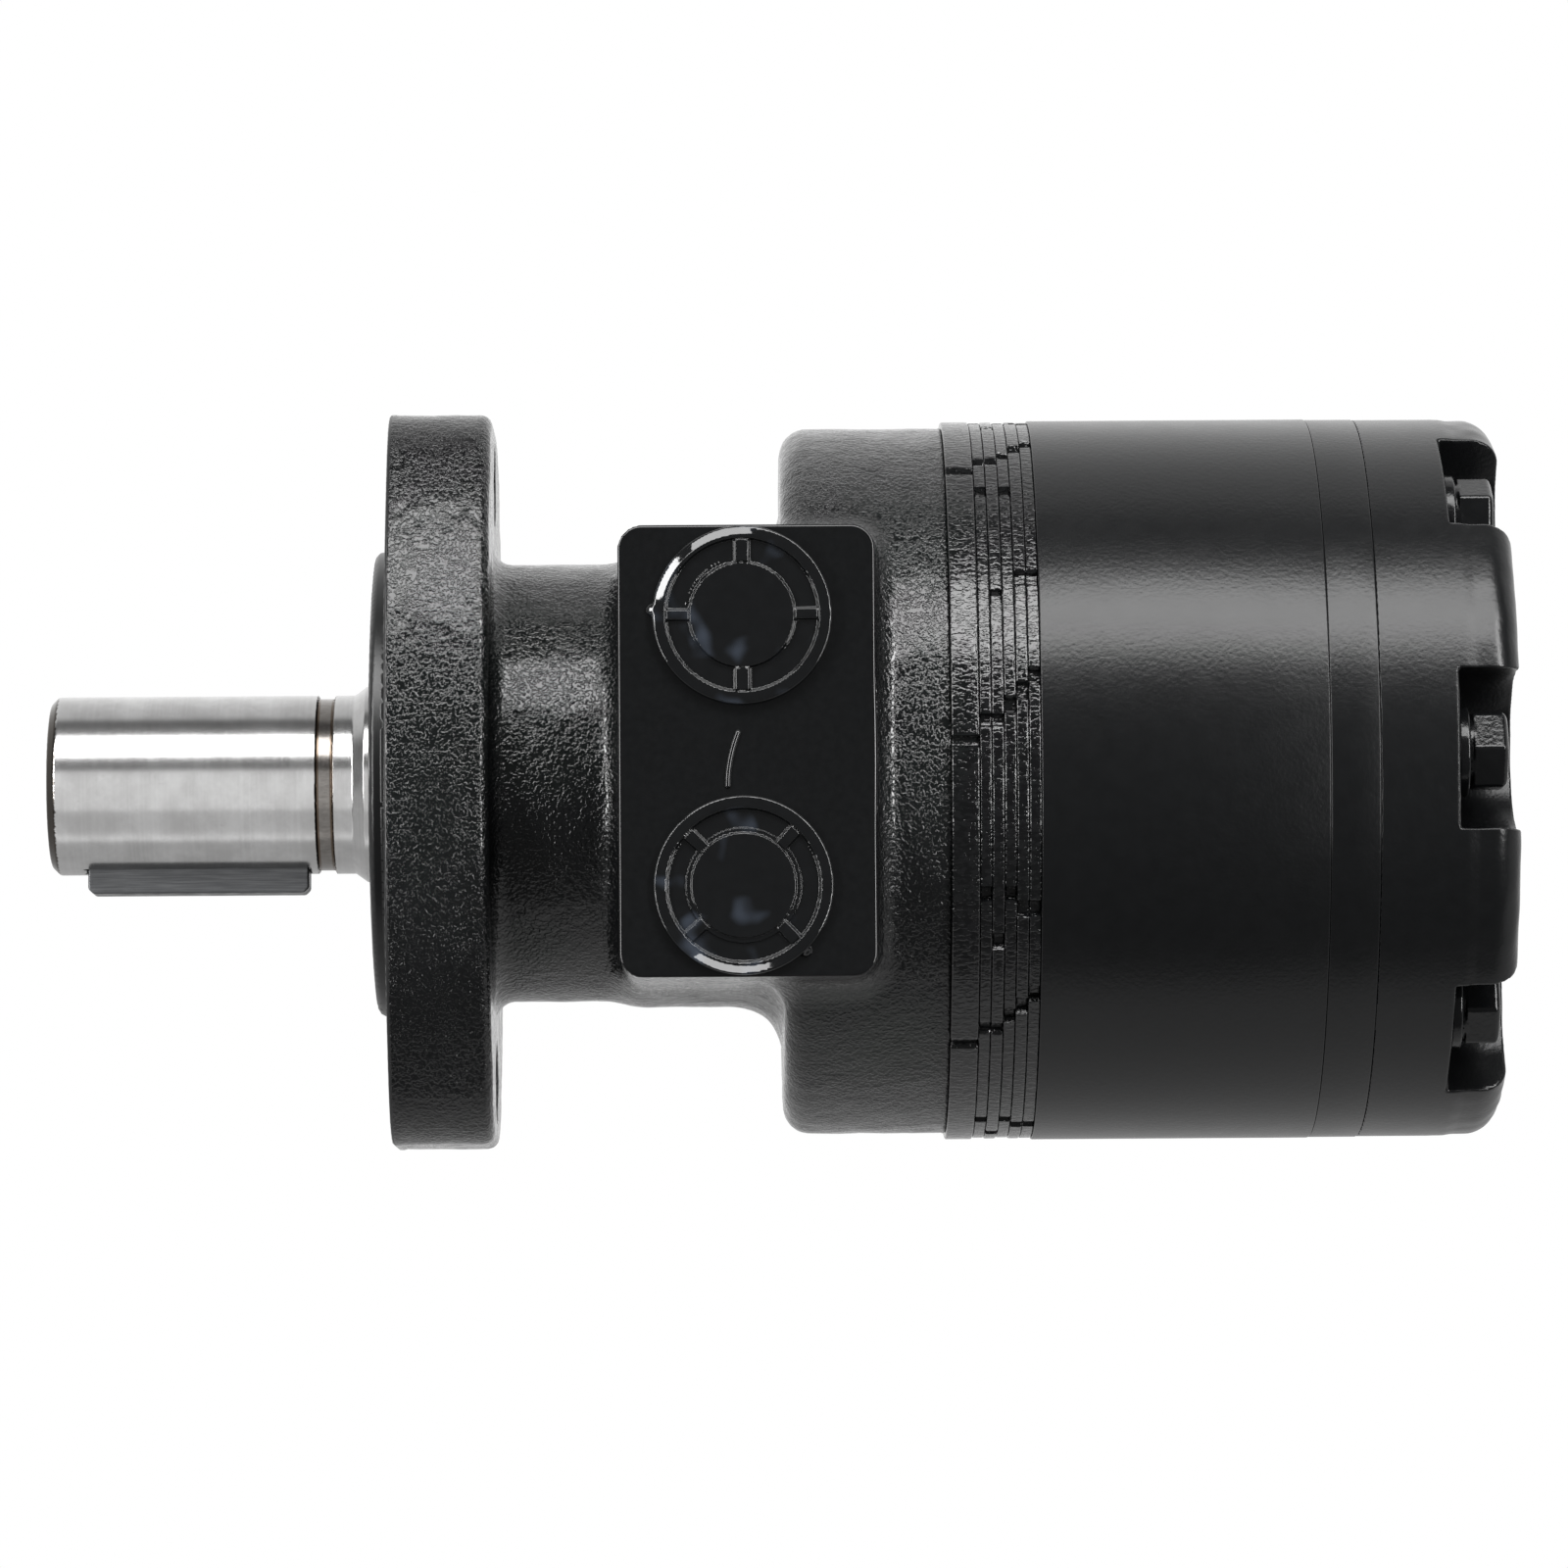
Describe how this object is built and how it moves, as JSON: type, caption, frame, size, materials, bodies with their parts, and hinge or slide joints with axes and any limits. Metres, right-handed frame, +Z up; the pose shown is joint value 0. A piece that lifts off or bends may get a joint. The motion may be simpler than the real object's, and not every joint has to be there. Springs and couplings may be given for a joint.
{
  "type": "hydraulic motor",
  "caption": "Low-speed orbital hydraulic motor: cast housing with a two-hole pilot flange, keyed shaft, side port pad, laminated manifold, roller rotor set and bolted end cover.",
  "frame": {"origin": "centre of the shaft's end face, on the shaft axis; the flange's mounting face is 60.8 mm along +X", "axes": "+X along the shaft axis from the shaft tip to the end cover, -Y out of the port pad, +Z up along the line of the two flange holes"},
  "size_m": [0.2557, 0.1323, 0.1296],
  "materials": {
    "cast_paint": "gloss black paint over sand-cast iron",
    "smooth_paint": "satin-gloss black paint over machined steel",
    "plug_plastic": "gloss black plastic, painted over",
    "shaft_steel": "turned and ground bare steel",
    "hardened_steel": "ground hardened steel, oiled",
    "seal_rubber": "matte black nitrile"
  },
  "bodies": {
    "motor_case": {"housing": "cast_paint", "port_plug_upper": "plug_plastic", "port_plug_lower": "plug_plastic", "dust_seal": "seal_rubber", "shaft_seal": "seal_rubber", "seal_backup_washer": "hardened_steel", "thrust_washer_front": "hardened_steel", "front_bearing_race": "hardened_steel", "rear_bearing_race": "hardened_steel", "manifold_plate_1": "smooth_paint", "manifold_plate_2": "smooth_paint", "manifold_plate_3": "smooth_paint", "manifold_plate_4": "smooth_paint", "manifold_plate_5": "smooth_paint", "manifold_plate_6": "smooth_paint", "stator": "smooth_paint", "balance_plate": "smooth_paint", "end_cover": "smooth_paint", "cover_bolt_1": "smooth_paint", "cover_bolt_2": "smooth_paint", "cover_bolt_3": "smooth_paint", "cover_bolt_4": "smooth_paint", "cover_bolt_5": "smooth_paint", "cover_bolt_6": "smooth_paint", "cover_bolt_7": "smooth_paint", "bolt_washer_1": "smooth_paint", "bolt_washer_2": "smooth_paint", "bolt_washer_3": "smooth_paint", "bolt_washer_4": "smooth_paint", "bolt_washer_5": "smooth_paint", "bolt_washer_6": "smooth_paint", "bolt_washer_7": "smooth_paint", "body_seal_1": "seal_rubber", "body_seal_2": "seal_rubber", "body_seal_3": "seal_rubber", "body_seal_4": "seal_rubber"},
    "shaft": {"output_shaft": "shaft_steel", "shaft_key": "shaft_steel", "thrust_washer_rear": "hardened_steel"},
    "front_cage": {"front_bearing_cage": "hardened_steel"},
    "rear_cage": {"rear_bearing_cage": "hardened_steel"},
    "thrust_cage": {"thrust_bearing_cage": "hardened_steel"},
    "orbit": {"link_spacer": "hardened_steel"},
    "rotor_body": {"rotor": "hardened_steel"},
    "link": {"drive_link": "hardened_steel"},
    "roller_1": {"roll_1": "hardened_steel"},
    "roller_2": {"roll_2": "hardened_steel"},
    "roller_3": {"roll_3": "hardened_steel"},
    "roller_4": {"roll_4": "hardened_steel"},
    "roller_5": {"roll_5": "hardened_steel"},
    "roller_6": {"roll_6": "hardened_steel"},
    "roller_7": {"roll_7": "hardened_steel"}
  },
  "joints": [
    {"name": "shaft_spin", "type": "hinge", "parent": "motor_case", "child": "shaft", "pos_m": [0, 0, 0], "axis": [1, 0, 0], "continuous": true},
    {"name": "front_cage_spin", "type": "hinge", "parent": "motor_case", "child": "front_cage", "pos_m": [0.0908, 0, 0], "axis": [1, 0, 0], "continuous": true},
    {"name": "rear_cage_spin", "type": "hinge", "parent": "motor_case", "child": "rear_cage", "pos_m": [0.1438, 0, 0], "axis": [1, 0, 0], "continuous": true},
    {"name": "thrust_cage_spin", "type": "hinge", "parent": "motor_case", "child": "thrust_cage", "pos_m": [0.07605, 0, 0], "axis": [1, 0, 0], "continuous": true},
    {"name": "rotor_orbit", "type": "hinge", "parent": "motor_case", "child": "orbit", "pos_m": [0.1978, 0, 0], "axis": [1, 0, 0], "continuous": true},
    {"name": "rotor_spin", "type": "hinge", "parent": "orbit", "child": "rotor_body", "pos_m": [0.1978, 0.0027, 0], "axis": [1, 0, 0], "continuous": true},
    {"name": "link_spin", "type": "hinge", "parent": "orbit", "child": "link", "pos_m": [0.1288, 0, 0], "axis": [0.9992, 0.0391, 0], "continuous": true},
    {"name": "roll_1_spin", "type": "hinge", "parent": "motor_case", "child": "roller_1", "pos_m": [0.1978, 0.0375, 0], "axis": [1, 0, 0], "continuous": true},
    {"name": "roll_2_spin", "type": "hinge", "parent": "motor_case", "child": "roller_2", "pos_m": [0.1978, 0.02338, 0.02932], "axis": [1, 0, 0], "continuous": true},
    {"name": "roll_3_spin", "type": "hinge", "parent": "motor_case", "child": "roller_3", "pos_m": [0.1978, -0.00834, 0.03656], "axis": [1, 0, 0], "continuous": true},
    {"name": "roll_4_spin", "type": "hinge", "parent": "motor_case", "child": "roller_4", "pos_m": [0.1978, -0.03379, 0.01627], "axis": [1, 0, 0], "continuous": true},
    {"name": "roll_5_spin", "type": "hinge", "parent": "motor_case", "child": "roller_5", "pos_m": [0.1978, -0.03379, -0.01627], "axis": [1, 0, 0], "continuous": true},
    {"name": "roll_6_spin", "type": "hinge", "parent": "motor_case", "child": "roller_6", "pos_m": [0.1978, -0.00834, -0.03656], "axis": [1, 0, 0], "continuous": true},
    {"name": "roll_7_spin", "type": "hinge", "parent": "motor_case", "child": "roller_7", "pos_m": [0.1978, 0.02338, -0.02932], "axis": [1, 0, 0], "continuous": true}
  ],
  "couplings": [
    {"joint": "front_cage_spin", "follows": "shaft_spin", "ratio": 0.4493},
    {"joint": "rear_cage_spin", "follows": "shaft_spin", "ratio": 0.4493},
    {"joint": "thrust_cage_spin", "follows": "shaft_spin", "ratio": 0.5},
    {"joint": "rotor_orbit", "follows": "shaft_spin", "ratio": -6},
    {"joint": "rotor_spin", "follows": "shaft_spin", "ratio": 7},
    {"joint": "link_spin", "follows": "shaft_spin", "ratio": 7},
    {"joint": "roll_1_spin", "follows": "shaft_spin", "ratio": -4.5},
    {"joint": "roll_2_spin", "follows": "shaft_spin", "ratio": -4.5},
    {"joint": "roll_3_spin", "follows": "shaft_spin", "ratio": -4.5},
    {"joint": "roll_4_spin", "follows": "shaft_spin", "ratio": -4.5},
    {"joint": "roll_5_spin", "follows": "shaft_spin", "ratio": -4.5},
    {"joint": "roll_6_spin", "follows": "shaft_spin", "ratio": -4.5},
    {"joint": "roll_7_spin", "follows": "shaft_spin", "ratio": -4.5}
  ]
}
